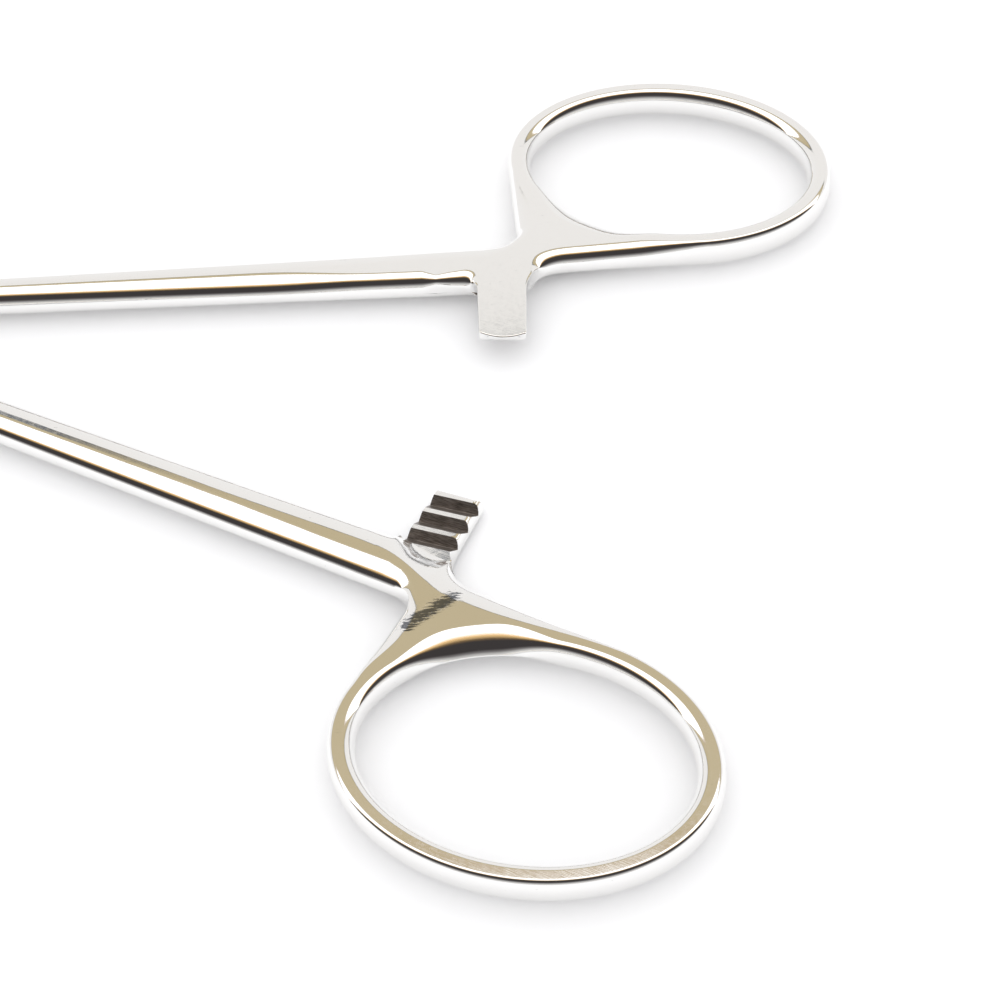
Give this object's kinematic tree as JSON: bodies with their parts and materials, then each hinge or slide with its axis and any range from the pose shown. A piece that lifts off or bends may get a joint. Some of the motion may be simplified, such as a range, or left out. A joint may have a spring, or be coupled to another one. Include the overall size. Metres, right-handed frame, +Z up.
{
  "type": "hemostat forceps",
  "caption": "Straight locking surgical forceps: two ring-handled arms crossing in a box lock, with a ratchet between the shanks and grooved jaws.",
  "frame": {"origin": "the point where the rivet's axis meets the underside of the lock, on the surface that the forceps lie on", "axes": "+X from the rivet towards the finger rings along the line halfway between the arms, +Y towards the arm that passes through the slot, +Z up along the rivet"},
  "size_m": [0.1374, 0.0836, 0.0038],
  "materials": {
    "steel": "polished"
  },
  "bodies": {
    "box_body": {"box_arm": "steel", "pivot_rivet": "steel"},
    "slip_body": {"slip_arm": "steel"}
  },
  "joints": [
    {"name": "arms_pivot", "type": "hinge", "parent": "box_body", "child": "slip_body", "pos_m": [0, 0, 0.0019], "axis": [0, 0, 1], "range_deg": [-18.4, 15.6]}
  ]
}
